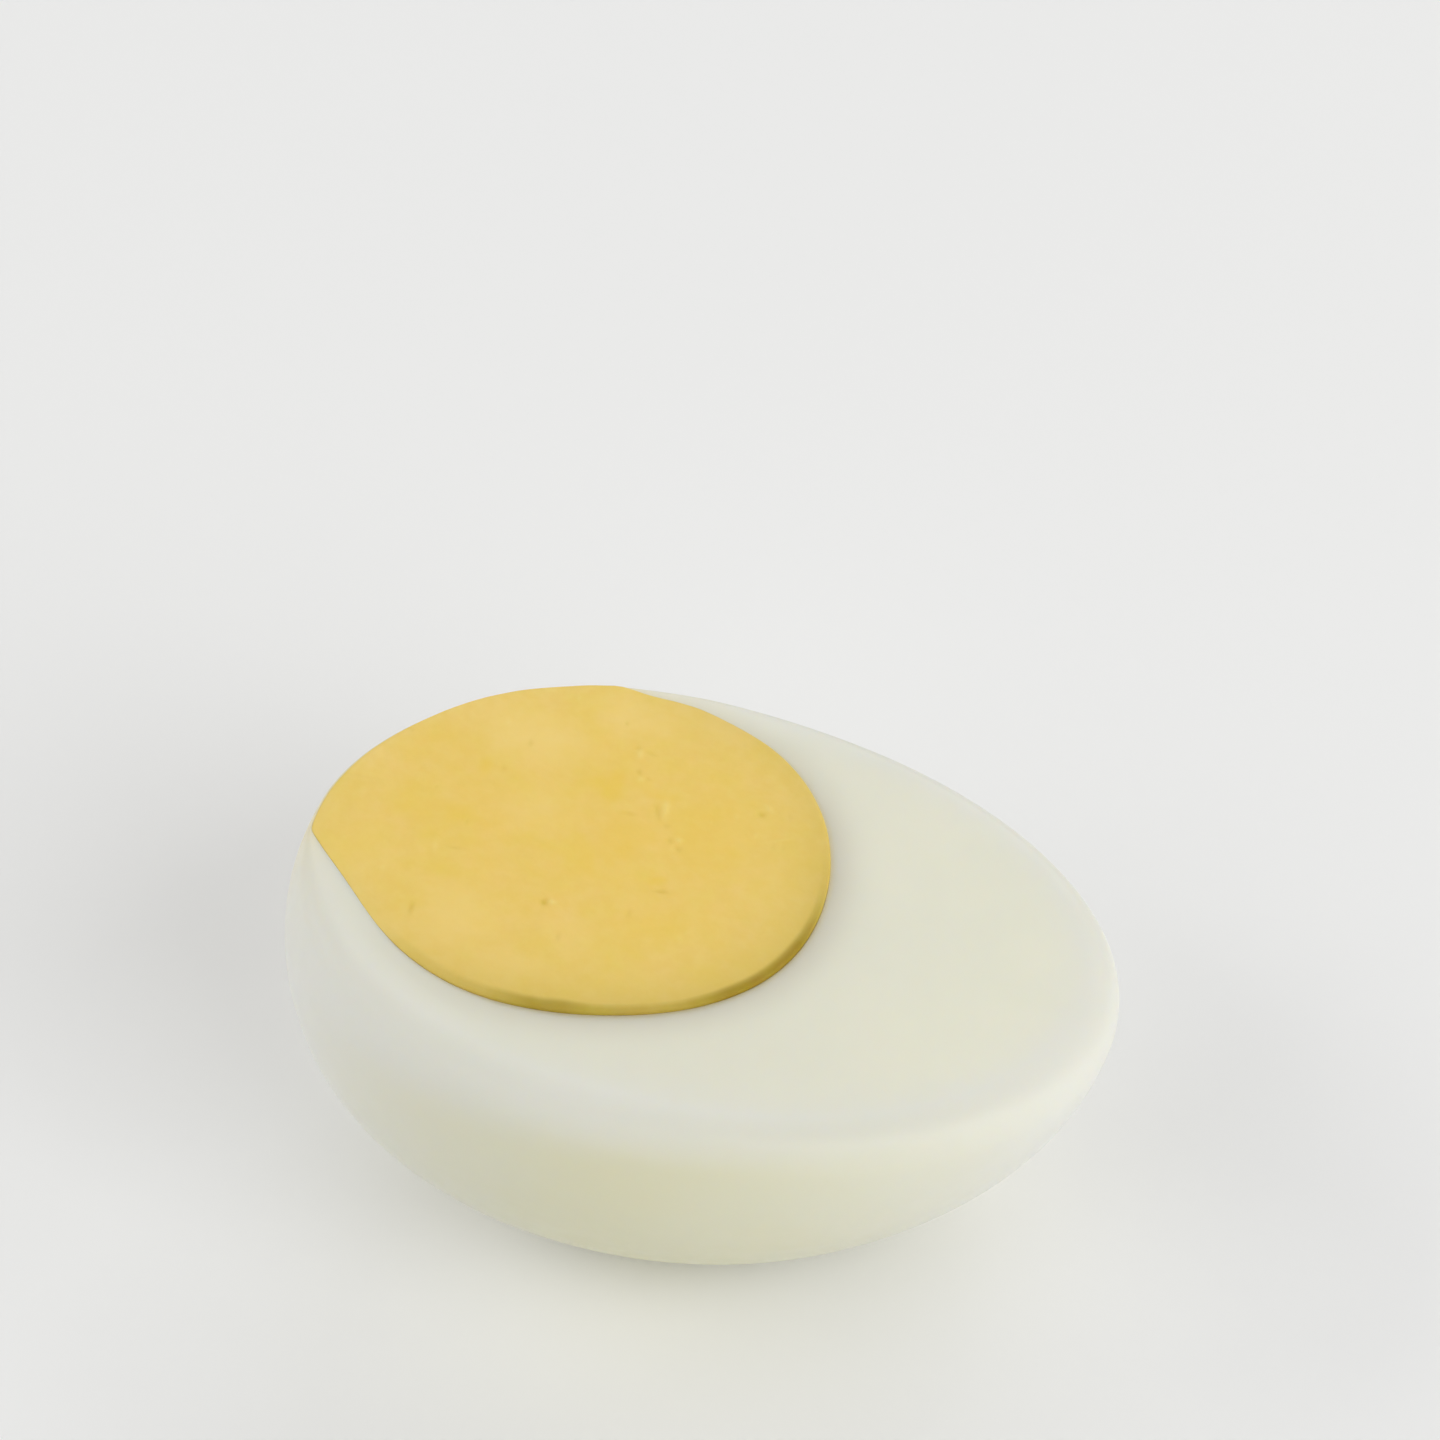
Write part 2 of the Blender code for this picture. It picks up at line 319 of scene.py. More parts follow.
def yolkReach(turn, dip):
    # How far the yolk reaches from its centre: a ball, pressed in by the skin.
    radius = yolk["radius"]
    for count, depth, first in yolk["lobes"]:
        radius = radius + depth * np.cos(count * turn - math.radians(first))
    radius = radius - bumpsAt(turn, yolk["dents"])
    ball = 1 / np.hypot(np.cos(dip) / radius, np.sin(dip) / yolk["depth"])
    pressed = skinReach(yolkCentre, yolkRay(turn, dip)) - white["wall"] - yolk["gap"]
    sharpest, roundest = yolk["pressBlend"]
    roundness = 0.5 - 0.5 * np.cos(turn - math.radians(yolk["sharpTurn"]))
    return softMin(ball, pressed, sharpest + (roundest - sharpest) * roundness)


def turnAndDip(points):
    # Where points lie as seen from the yolk's centre.
    away = points - yolkCentre
    along = away @ cutAlong
    across = away @ cutAcross
    turn = np.arctan2(across, along)
    dip = np.arctan2(-(away @ cutUp), np.hypot(along, across))
    return turn, dip, np.linalg.norm(away, axis=-1)


def bend(start, corner, end, shares):
    # A rounded corner for each column: a quadratic curve that leans towards corner.
    share = shares[None, :, None]
    ends = start[:, None] * (1 - share) ** 2 + end[:, None] * share**2
    return ends + corner[:, None] * 2 * share * (1 - share)


def steps(count):
    # count even steps from 0 to 1, without the 0.
    return np.arange(1, count + 1) / count


def meshObject(name, points, faces, marks):
    # Makes a smooth object from points in millimetres, with a named number at each point.
    data = bpy.data.meshes.new(name)
    data.from_pydata((points * mm).tolist(), [], faces)
    data.validate()
    data.shade_smooth()
    for markName, values in marks.items():
        layer = data.attributes.new(markName, "FLOAT", "POINT")
        layer.data.foreach_set("value", np.ascontiguousarray(values, dtype=np.float32))
    made = bpy.data.objects.new(name, data)
    bpy.context.scene.collection.objects.link(made)
    return made


def stripFaces(columns, rows):
    # Quads of a sheet of points that is closed all the way round, counted column by column.
    here = np.arange(columns)[:, None] * rows + np.arange(rows - 1)[None, :]
    after = np.roll(here, -1, axis=0)
    return np.stack((here, after, after + 1, here + 1), -1).reshape(-1, 4).tolist()


def fanFaces(columns, rows, row, pole, inward):
    # Triangles from one ring of the sheet to a pole.
    here = np.arange(columns) * rows + row
    after = np.roll(here, -1)
    poles = np.full(columns, pole)
    order = (here, after, poles) if inward else (after, here, poles)
    return np.stack(order, -1).tolist()


# The white: columns of points from the middle of the underside, up the skin, over the rim,
# across the cut face and down the wall of the yolk's cavity

restHeight = white["restDepth"] - float(eggRadius(hub[0]))


def makeWhite():
    columns = white["columns"]
    turn = 2 * np.pi * np.arange(columns) / columns
    level = np.zeros(columns)
    outward = inCut(turn)
    corner = yolkCentre + outward * skinReach(yolkCentre, outward)[:, None]
    cavityEdge = yolkCentre + outward * (yolkReach(turn, level) + yolk["gap"])[:, None]
    faceWidth = np.linalg.norm(corner - cavityEdge, axis=-1)
    rimSwing = white["rimSwing"] * np.cos(turn - math.radians(white["rimTurn"]))
    widestRim = white["rimRadius"] + rimSwing
    rimRadius = softMin(widestRim, faceWidth * white["rimShare"], widestRim / 2)

    toRim = unit(corner - hub)
    fullAngle = np.arccos(toRim @ down)
    skinEnd = 1 - rimRadius / (np.linalg.norm(corner - hub, axis=-1) * fullAngle)
    first = white["firstRing"]
    shares = skinEnd[:, None] * (first + (1 - first) * steps(white["skinRows"]))[None, :]
    angles = (shares * fullAngle[:, None])[..., None]
    across = unit(toRim - down * (toRim @ down)[:, None])[:, None]
    rays = down * np.cos(angles) + across * np.sin(angles)
    skin = hub + rays * skinReach(hub, rays)[..., None]
    skin[..., 2] = -softMin(-skin[..., 2], -restHeight, white["restBlend"])

    rimEnd = corner - outward * rimRadius[:, None]
    rim = bend(skin[:, -1], corner, rimEnd, steps(white["rimRows"]))

    stepped = 1 - bumpsAt(turn, (white["flushBump"],))
    widestLip = white["lip"] * (white["flushLip"] + (1 - white["flushLip"]) * stepped)
    lip = np.minimum(widestLip, faceWidth * white["lipShare"])
    lipStart = cavityEdge + outward * lip[:, None]
    slide = np.sin(steps(white["faceRows"]) * np.pi / 2)[None, :, None]
    face = rimEnd[:, None] * (1 - slide) + lipStart[:, None] * slide
    fromYolk = np.linalg.norm(face - cavityEdge[:, None], axis=-1)
    fromRim = np.linalg.norm(face - rimEnd[:, None], axis=-1)
    awayFromRim = np.minimum(fromRim / white["troughWidth"], 1)
    trough = white["troughDepth"] * stepped[:, None]
    sink = trough * np.exp(-((fromYolk / white["troughWidth"]) ** 2))
    wave = white["cutWaveHeight"] * noiseAt(face, white["cutWaveSize"], white["cutWaveShift"])
    alongKnife = face * np.array((1, white["dragStretch"], 1))
    drag = white["dragHeight"] * noiseAt(alongKnife, white["dragSize"], white["dragShift"])
    face = face + cutUp * ((wave + drag - sink) * awayFromRim)[..., None]

    edgeSink = (trough[:, 0] * awayFromRim[:, -1] + lip) * white["lipDepth"]
    firstDip = np.arcsin(edgeSink / np.linalg.norm(cavityEdge - yolkCentre, axis=-1))
    wallReach = yolkReach(turn, firstDip) + yolk["gap"]
    wallTop = yolkCentre + yolkRay(turn, firstDip) * wallReach[:, None]
    lipCorner = face[:, -1] - outward * lip[:, None]
    lipBend = bend(face[:, -1], lipCorner, wallTop, steps(white["lipRows"]))
    dips = firstDip[:, None] + (steepest - firstDip[:, None]) * steps(white["cavityRows"])[None, :]
    turns = np.broadcast_to(turn[:, None], dips.shape)
    cavityReach = yolkReach(turns, dips) + yolk["gap"]
    cavity = yolkCentre + yolkRay(turns, dips) * cavityReach[..., None]

    sheet = np.concatenate((skin, rim, face, lipBend, cavity), axis=1)
    rows = sheet.shape[1]
    straightDown = np.array((math.pi / 2,))
    cavityPole = yolkCentre - cutUp * (yolkReach(np.zeros(1), straightDown) + yolk["gap"])
    restPole = hub + down * -restHeight
    points = np.concatenate((sheet.reshape(-1, 3), restPole[None], cavityPole[None]))
    faces = stripFaces(columns, rows)
    faces += fanFaces(columns, rows, 0, columns * rows, False)
    faces += fanFaces(columns, rows, rows - 1, columns * rows + 1, True)

    # What the finish needs to know at each point
    wrap = np.concatenate((np.ones(white["skinRows"]), 1 - steps(white["rimRows"])))
    outside = np.zeros(rows)
    outside[:len(wrap)] = wrap

    def besideYolk(reach, strength):
        # This strong at the yolk, and less and less away from it over this reach.
        onCut = np.exp(-((fromYolk / reach) ** 2)) * awayFromRim * strength[:, None]
        onLip = np.repeat(strength[:, None], white["lipRows"], axis=1)
        inCavity = np.ones((columns, white["cavityRows"]))
        onSheet = np.concatenate((np.zeros((columns, len(wrap))), onCut, onLip, inCavity), axis=1)
        return np.append(onSheet.reshape(-1), (0, 1))

    onSkin = np.append(np.tile(outside, columns), (1, 0))
    pointTurn, pointDip, pointFar = turnAndDip(points)
    thick = np.maximum(pointFar - yolkReach(pointTurn, pointDip), 0)
    thinWall = np.exp(-thick / white["thinReach"])[:-2].reshape(columns, rows)
    thinUnder = white["thinOnCut"] * thinWall[:, white["skinRows"]:]
    thinBeside = np.exp(-faceWidth / white["thinReach"])[:, None]
    thinWall[:, white["skinRows"]:] = np.maximum(thinBeside, thinUnder)
    # A painted highlight along the rim: whiter over the cut beside it and down the skin below it
    overFace = np.exp(-fromRim / white["rimHighlightReach"])
    rimHighlightMask = np.concatenate((
        1 - smoothStep(0, white["rimDrop"], np.linalg.norm(skin - corner[:, None], axis=-1)),
        np.ones((columns, white["rimRows"])),
        overFace,
        np.repeat(overFace[:, -1:], white["lipRows"] + white["cavityRows"], axis=1),
    ), axis=1)
    height = points[:, 2] - restHeight
    # Painted warm shade where the skin faces the near side, and on the underside
    outwards = points - hub
    sideways = np.maximum(np.hypot(outwards[:, 0], outwards[:, 1]), white["warmCore"])
    nearSide = (-outwards[:, 1] / sideways - white["warmFrom"]) / (1 - white["warmFrom"])
    paintedWarmShade = np.clip(nearSide, 0, 1) ** white["warmPower"]
    paintedWarmShade = paintedWarmShade * (1 - smoothStep(*white["warmTop"], height))
    warmShadeBelow = white["warmUnderside"] * (1 - smoothStep(*white["warmBottom"], height))
    # Painted shade on the white beside the yolk and over its cavity, weaker or stronger round it
    dullness = stepped * (1 + bumpsAt(turn, white["shadeBumps"]))
    marks = {
        "outside": onSkin,
        "thinWall": np.append(thinWall.reshape(-1), (0, 0)),
        "paintedShadeByYolk": besideYolk(white["troughWidth"], dullness),
        "stain": besideYolk(white["stainReach"], stepped),
        "paintedWarmShade": np.maximum(paintedWarmShade, warmShadeBelow) * onSkin,
        "paintedRimHighlight": np.append(rimHighlightMask.reshape(-1), (0, 0)),
        # Painted light: the cut grows paler towards the narrow end
        "paintedLightNarrowEnd": smoothStep(*white["paintedLightNarrowEnd"], points[:, 0]) * (1 - onSkin),
    }
    return meshObject("eggWhite", points, faces, marks)


# The yolk: columns from its lowest point up its side and over its edge, then an even grid of
# points over the top, because columns would crowd together there


def yolkMarks():
    # Pits, crumbs and drag marks on the cut: kind, place, length, width, strength and lean.
    random = np.random.default_rng(yolk["seed"])
    made = []

    def place(most):
        turn = random.uniform(0, 2 * math.pi)
        reach = most * yolk["radius"] * math.sqrt(random.uniform(0, 1))
        return reach * math.cos(turn), reach * math.sin(turn)

    def knifeLean():
        return math.pi / 2 + random.uniform(-yolk["leanSpread"], yolk["leanSpread"])

    for kind, along, across, length, width, lean, strength in yolk["tears"]:
        made.append((kind, along, across, length, width, strength, math.radians(lean)))
    for index in range(yolk["scatter"]):
        along, across = place(yolk["scatterReach"])
        size = random.uniform(*yolk["scatterSize"])
        length = size * random.uniform(*yolk["scatterStretch"])
        width = size * yolk["scatterWidth"]
        strength = random.uniform(*yolk["scatterStrength"])
        kind = "pit" if index % 2 else "crumb"
        made.append((kind, along, across, length, width, strength, knifeLean()))
    for _ in range(yolk["drags"]):
        along, across = place(yolk["dragReach"])
        length = random.uniform(*yolk["dragLength"])
        rise = random.choice((-yolk["dragHeight"], yolk["dragHeight"]))
        made.append(("drag", along, across, length, yolk["dragWidth"], rise, knifeLean()))
    return made


def yolkTop(turn, reach, edgeReach, marksOnTop):
    # Points of the yolk's cut face, with how deep in a pit or high on a crumb each one is.
    along = reach * np.cos(turn)
    across = reach * np.sin(turn)
    points = yolkCentre + along[..., None] * cutAlong + across[..., None] * cutAcross
    share = reach / edgeReach
    height = yolk["proud"] + yolk["dome"] * (1 - share**2)
    for count, rise, first in yolk["proudLobes"]:
        height = height + rise * np.cos(count * turn - math.radians(first)) * share**count
    height = height + bumpsAt(turn, yolk["proudBumps"]) * share**4
    for index, (size, rise) in enumerate(yolk["ripples"]):
        height = height + rise * noiseAt(points, size, yolk["rippleShift"] * index)
    topMarks = {name: np.zeros(reach.shape) for name in ("pit", "crumb", "drag", "pale", "gold")}
    rises = {"pit": -yolk["pitDepth"], "crumb": yolk["crumbHeight"], "drag": 1.0}
    for kind, markAlong, markAcross, length, width, strength, lean in marksOnTop:
        offAlong = along - markAlong
        offAcross = across - markAcross
        lengthwise = offAlong * math.cos(lean) + offAcross * math.sin(lean)
        sideways = offAcross * math.cos(lean) - offAlong * math.sin(lean)
        bump = strength * np.exp(-((lengthwise / length) ** 2) - (sideways / width) ** 2)
        height = height + rises[kind] * bump
        topMarks[kind] = np.maximum(topMarks[kind], bump)
    firstShift, secondShift = yolk["tintWobbleShifts"]
    wobbleSize = yolk["tintWobbleSize"]
    wobbledAlong = along + yolk["tintWobble"] * noiseAt(points, wobbleSize, firstShift)
    wobbledAcross = across + yolk["tintWobble"] * noiseAt(points, wobbleSize, secondShift)
    for kind, tintAlong, tintAcross, length, width, strength in yolk["tints"]:
        offAlong = (wobbledAlong - tintAlong) / length
        offAcross = (wobbledAcross - tintAcross) / width
        patch = strength * np.exp(-((offAlong**2 + offAcross**2) ** yolk["tintFall"]))
        topMarks[kind] = np.maximum(topMarks[kind], patch)
    return points + cutUp * height[..., None], topMarks


def makeYolk():
    columns = yolk["columns"]
    turn = 2 * np.pi * np.arange(columns) / columns - np.pi / 4
    marksOnTop = yolkMarks()
    edgeReach = yolkReach(turn, np.zeros(columns))
    dips = steepest * (1 - steps(yolk["sideRows"]))[None, :] * np.ones((columns, 1))
    turns = np.broadcast_to(turn[:, None], dips.shape)
    side = yolkCentre + yolkRay(turns, dips) * yolkReach(turns, dips)[..., None]

    topReach = edgeReach - yolk["edge"]
    topRim, rimMarks = yolkTop(turn, topReach, edgeReach, marksOnTop)
    rise = (topRim - side[:, -1]) @ cutUp
    wallTop = side[:, -1] + cutUp * (rise * yolk["uprightShare"])[:, None]
    wallSteps = steps(yolk["wallRows"])[None, :, None]
    wall = side[:, -1][:, None] * (1 - wallSteps) + wallTop[:, None] * wallSteps
    edgeCorner = side[:, -1] + cutUp * rise[:, None]
    edge = bend(wallTop, edgeCorner, topRim, steps(yolk["edgeRows"]))

    ringWidth = edgeReach * yolk["ringShare"] - topReach
    ringReach = topReach[:, None] + ringWidth[:, None] * steps(yolk["ringRows"])[None, :]
    ringTurn = np.broadcast_to(turn[:, None], ringReach.shape)
    ring, ringMarks = yolkTop(ringTurn, ringReach, edgeReach[:, None], marksOnTop)

    sheet = np.concatenate((side, wall, edge, ring), axis=1)
    rows = sheet.shape[1]

    # The even grid: a square bent into a disc, whose border is the last ring
    side4 = columns // 4
    lines = math.sqrt(2) * np.sin(np.pi / 4 * (2 * np.arange(side4 + 1) / side4 - 1))
    gridA, gridB = np.meshgrid(lines, lines, indexing="ij")
    discX = gridA * np.sqrt(1 - gridB**2 / 2)
    discY = gridB * np.sqrt(1 - gridA**2 / 2)
    gridTurn = np.arctan2(discY, discX)
    gridEdge = np.interp(gridTurn, turn, edgeReach, period=2 * np.pi)
    gridReach = np.hypot(discX, discY) * yolk["ringShare"] * gridEdge
    grid, gridMarks = yolkTop(gridTurn, gridReach, gridEdge, marksOnTop)

    # The border of the grid, in the order of the columns
    number = np.full((side4 + 1, side4 + 1), -1)
    inner = columns * rows + np.arange((side4 - 1) ** 2).reshape(side4 - 1, side4 - 1)
    number[1:-1, 1:-1] = inner
    ringPoints = np.arange(columns) * rows + rows - 1
    last = side4
    for step in range(side4):
        number[last, step] = ringPoints[step]
        number[last - step, last] = ringPoints[side4 + step]
        number[0, last - step] = ringPoints[2 * side4 + step]
        number[step, 0] = ringPoints[3 * side4 + step]
    corners = (number[:-1, :-1], number[1:, :-1], number[1:, 1:], number[:-1, 1:])
    gridFaces = np.stack(corners, -1).reshape(-1, 4).tolist()

    bottom = yolkCentre - cutUp * yolkReach(np.zeros(1), np.array((math.pi / 2,)))
    points = np.concatenate((sheet.reshape(-1, 3), grid[1:-1, 1:-1].reshape(-1, 3), bottom[None]))
    faces = stripFaces(columns, rows) + gridFaces
    faces += fanFaces(columns, rows, 0, len(points) - 1, False)

    # The olive film shows on the side wall and fades inwards over the cut
    filmTurns, filmStrength, filmReach, dullness = np.array(yolk["film"]).T

    def aroundEdge(turns, values):
        return np.interp((np.degrees(turns) + 180) % 360 - 180, filmTurns, values)

    def filmAt(turns, fromEdge):
        # Strength of the film, and of the dull band of olive tint and painted shade inside it, this
        # far in from the edge.
        share = fromEdge / aroundEdge(turns, filmReach)
        softness = yolk["filmSoftness"]
        film = aroundEdge(turns, filmStrength) * (1 - smoothStep(1 - softness, 1 + softness, share))
        return film, aroundEdge(turns, dullness) * np.exp(-fromEdge / yolk["fadeReach"])

    below = np.zeros(yolk["sideRows"] + yolk["wallRows"])
    inset = np.concatenate((below, steps(yolk["edgeRows"]))) * yolk["edge"]
    aroundSide = np.zeros((columns, len(inset)))
    fromEdge = np.concatenate((aroundSide + inset, edgeReach[:, None] - ringReach), axis=1)
    skinMark, fadeMark = filmAt(np.broadcast_to(turn[:, None], fromEdge.shape), fromEdge)
    gridSkin, gridFade = filmAt(gridTurn, gridEdge - gridReach)

    def joined(onSheet, onGrid, atBottom):
        # Numbers of the sheet, the grid inside its border and the lowest point, in one row.
        return np.concatenate((onSheet.reshape(-1), onGrid[1:-1, 1:-1].reshape(-1), (atBottom,)))

    shareMark = np.concatenate((aroundSide + 1, ringReach / edgeReach[:, None]), axis=1)
    marks = {
        "oliveSkin": joined(skinMark, gridSkin, 0.5),
        "oliveTintAndShade": joined(fadeMark, gridFade, 1),
        "rimward": joined(shareMark, gridReach / gridEdge, 1),
    }
    for name in ("pit", "crumb", "pale", "gold"):
        onSide = aroundSide + rimMarks[name][:, None]
        marks[name] = joined(np.concatenate((onSide, ringMarks[name]), axis=1), gridMarks[name], 0)
    return meshObject("yolkHalf", points, faces, marks)


eggWhite = makeWhite()
print("egg: white modelled,", len(eggWhite.data.polygons), "faces")
yolkHalf = makeYolk()
print("egg: yolk modelled,", len(yolkHalf.data.polygons), "faces")


def settle(pieces):
    # Moves the pieces, which share one place, so that the white sits in its solid's box.
    low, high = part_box("egg_white")
    places = np.empty(len(pieces[0].data.vertices) * 3)
    pieces[0].data.vertices.foreach_get("co", places)
    places = places.reshape(-1, 3)
    toMiddle = [(low[axis] + high[axis] - places[:, axis].min() - places[:, axis].max()) / 2
                for axis in (0, 1)]
    shift = Vector((*toMiddle, low[2] - places[:, 2].min()))
    for piece in pieces:
        for vertex in piece.data.vertices:
            vertex.co += shift
    return shift


axisPlace = settle((eggWhite, yolkHalf))

# Materials


def addNode(tree, kind, values=None, **settings):
    node = tree.nodes.new(kind)
    for name, value in settings.items():
        setattr(node, name, value)
    for name, value in (values or {}).items():
        node.inputs[name].default_value = value
    return node


def newGroup(name, ins, outs):
    # A shader node group: ins are names with their values, outs are names.
    group = bpy.data.node_groups.new(name, "ShaderNodeTree")
    newSocket = group.interface.new_socket
    for socketName, value in ins.items():
        socket = newSocket(socketName, in_out="INPUT", socket_type="NodeSocketFloat")
        socket.default_value = value
    for socketName in outs:
        newSocket(socketName, in_out="OUTPUT", socket_type="NodeSocketFloat")
    return group, group.nodes.new("NodeGroupInput"), group.nodes.new("NodeGroupOutput")


def perMillimetre(group, socket):
    # Turns a size in millimetres into a noise scale over metres.
    divide = addNode(group, "ShaderNodeMath", {0: 1 / mm}, operation="DIVIDE")
    group.links.new(socket, divide.inputs[1])
    return divide.outputs[0]


def makeMottle():
    # Slow patches and finer specks, each from 0 to 1.
    sizes = {"Patch Size": 5.0, "Speck Size": 1.0}
    group, ins, outs = newGroup("softMottle", sizes, ("Patches", "Specks"))
    place = addNode(group, "ShaderNodeTexCoord")
    for sizeName, outName, detail in (
        ("Patch Size", "Patches", 2.0),
        ("Speck Size", "Specks", 3.0),
    ):
        cloud = addNode(group, "ShaderNodeTexNoise", {"Detail": detail, "Roughness": 0.55})
        group.links.new(place.outputs["Object"], cloud.inputs["Vector"])
        group.links.new(perMillimetre(group, ins.outputs[sizeName]), cloud.inputs["Scale"])
        # The noise stays near its middle, so that is stretched to run from 0 to 1
        spread = addNode(group, "ShaderNodeMapRange", {"From Min": 0.36, "From Max": 0.64})
        group.links.new(cloud.outputs["Fac"], spread.inputs["Value"])
        group.links.new(spread.outputs["Result"], outs.inputs[outName])
    return group


def makeGrain():
    # The height of a fine grain, for a bump.
    sizes = {"Grain Size": 0.3, "Coarse Share": 0.5}
    group, ins, outs = newGroup("fineGrain", sizes, ("Height",))
    place = addNode(group, "ShaderNodeTexCoord")
    fine = addNode(group, "ShaderNodeTexNoise", {"Detail": 4.0, "Roughness": 0.6})
    coarse = addNode(group, "ShaderNodeTexNoise", {"Detail": 2.0})
    scale = perMillimetre(group, ins.outputs["Grain Size"])
    wider = addNode(group, "ShaderNodeMath", {1: 0.25}, operation="MULTIPLY")
    group.links.new(scale, wider.inputs[0])
    group.links.new(scale, fine.inputs["Scale"])
    group.links.new(wider.outputs[0], coarse.inputs["Scale"])
    for cloud in (fine, coarse):
        group.links.new(place.outputs["Object"], cloud.inputs["Vector"])
    both = addNode(group, "ShaderNodeMix", data_type="FLOAT")
    group.links.new(ins.outputs["Coarse Share"], both.inputs["Factor"])
    group.links.new(fine.outputs["Fac"], both.inputs["A"])
    group.links.new(coarse.outputs["Fac"], both.inputs["B"])
    group.links.new(both.outputs["Result"], outs.inputs["Height"])
    return group


softMottle = makeMottle()
fineGrain = makeGrain()


def placeGroup(tree, group, values):
    node = addNode(tree, "ShaderNodeGroup", node_tree=group)
    for name, value in values.items():
        node.inputs[name].default_value = value
    return node


def mark(tree, name):
    # One of the numbers that the mesh has at each point.
    node = addNode(tree, "ShaderNodeAttribute", attribute_name=name, attribute_type="GEOMETRY")
    return node.outputs["Fac"]


def scaled(tree, socket, factor):
    node = addNode(tree, "ShaderNodeMath", {1: factor}, operation="MULTIPLY")
    tree.links.new(socket, node.inputs[0])
    return node.outputs[0]


def paintOver(tree, under, paint, mask):
    # Lays one colour over another, as much as the mask says; either may be plain or a socket.
    mix = addNode(tree, "ShaderNodeMix", data_type="RGBA")
    tree.links.new(mask, mix.inputs[0])
    for colour, socket in ((under, mix.inputs[6]), (paint, mix.inputs[7])):
        if isinstance(colour, tuple):
            socket.default_value = (*colour, 1)
        else:
            tree.links.new(colour, socket)
    return mix.outputs[2]


def coated(tree, colour, finish, patterns):
    # Lays the coats of a finish over a colour, each masked by a pattern or by a mark.
    for paintName, maskName, strength in finish["coats"]:
        mask = patterns[maskName] if maskName in patterns else mark(tree, maskName)
        colour = paintOver(tree, colour, finish[paintName], scaled(tree, mask, strength))
    return colour


def spanned(tree, socket, low, high):
    node = addNode(tree, "ShaderNodeMapRange", {"To Min": low, "To Max": high})
    tree.links.new(socket, node.inputs["Value"])
    return node.outputs["Result"]


def newMaterial(name):
    made = bpy.data.materials.new(name)
    made.use_nodes = True
    tree = made.node_tree
    return made, tree, tree.nodes["Principled BSDF"]


def addGrain(tree, shader, finish):
    grain = placeGroup(tree, fineGrain, finish["grain"])
    bump = addNode(tree, "ShaderNodeBump", finish["bump"])
    tree.links.new(grain.outputs["Height"], bump.inputs["Height"])
    tree.links.new(bump.outputs["Normal"], shader.inputs["Normal"])


whiteFinish = {
    "cut": (0.80, 0.79, 0.65),
    # Painted light on the cut, paler towards the narrow end
    "paintedLightNarrowEnd": (0.845, 0.835, 0.675),
    "skin": (0.785, 0.785, 0.74),
    # Painted highlight along the rounded rim
    "rim": (0.805, 0.805, 0.735),
    # Painted warm shade on the near side and the underside
    "warm": (0.765, 0.745, 0.53),
    # Painted shade beside the yolk and in its cavity
    "shade": (0.66, 0.635, 0.53),
    "stain": (0.75, 0.65, 0.34),
    "yolkThrough": (0.88, 0.74, 0.36),
    "patch": (0.76, 0.77, 0.65),
    # What is laid over the colour of the cut in turn: colour, mask, strength
    "coats": (
        ("skin", "outside", 1.0),
        ("paintedLightNarrowEnd", "paintedLightNarrowEnd", 1.0),
        ("rim", "paintedRimHighlight", 0.8),
        ("warm", "paintedWarmShade", 1.0),
        ("patch", "patches", 0.25),
        ("shade", "paintedShadeByYolk", 0.85),
        ("stain", "stain", 0.6),
    ),
    "clearness": (0.5, 0.8),  # how much of the yolk a very thin wall shows
    "mottle": {"Patch Size": 9.0, "Speck Size": 1.6},
    "grain": {"Grain Size": 0.35, "Coarse Share": 0.6},
    "bump": {"Strength": 0.12, "Distance": 0.05 * mm},
    "roughness": (0.38, 0.50),
    "ior": 1.4,
    "subsurface": 0.35,
    "subsurfaceRadius": (1.0, 0.8, 0.45),
    "subsurfaceScale": 2.0 * mm,
}


def makeWhiteMaterial():
    made, tree, shader = newMaterial("boiledWhite")
    mottle = placeGroup(tree, softMottle, whiteFinish["mottle"])
    patterns = {"patches": mottle.outputs["Patches"]}
    colour = coated(tree, whiteFinish["cut"], whiteFinish, patterns)
    clearness = addNode(tree, "ShaderNodeMath", operation="MULTIPLY")
    clearest = spanned(tree, mottle.outputs["Patches"], *whiteFinish["clearness"])
    tree.links.new(clearest, clearness.inputs[0])
    tree.links.new(mark(tree, "thinWall"), clearness.inputs[1])
    colour = paintOver(tree, colour, whiteFinish["yolkThrough"], clearness.outputs[0])
    tree.links.new(colour, shader.inputs["Base Color"])
    roughness = spanned(tree, mottle.outputs["Specks"], *whiteFinish["roughness"])
    tree.links.new(roughness, shader.inputs["Roughness"])
    # A thin wall has no depth to glow from
    deep = spanned(tree, mark(tree, "thinWall"), whiteFinish["subsurface"], 0)
    tree.links.new(deep, shader.inputs["Subsurface Weight"])
    shader.inputs["Subsurface Radius"].default_value = whiteFinish["subsurfaceRadius"]
    shader.inputs["Subsurface Scale"].default_value = whiteFinish["subsurfaceScale"]
    shader.inputs["IOR"].default_value = whiteFinish["ior"]
    addGrain(tree, shader, whiteFinish)
    return made


